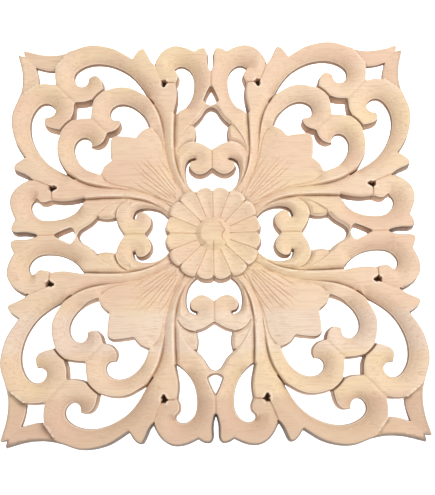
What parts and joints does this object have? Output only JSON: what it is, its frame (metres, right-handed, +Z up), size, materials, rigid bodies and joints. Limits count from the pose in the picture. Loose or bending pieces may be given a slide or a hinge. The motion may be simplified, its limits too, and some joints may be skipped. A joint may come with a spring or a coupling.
{
  "type": "carved wood applique",
  "caption": "Square pierced wood applique carved with scrolls and palmettes round a central petalled rosette.",
  "frame": {"origin": "middle of the flat back, where the panel lies against its wall or door", "axes": "+X to the viewer's right, +Z up, -Y out of the carved face towards the viewer, +Y into the wall"},
  "size_m": [0.3, 0.012, 0.3],
  "materials": {
    "pale_rubberwood": "bare, sanded, unfinished"
  },
  "bodies": {
    "root": {"carved_applique": "pale_rubberwood"}
  },
  "joints": []
}
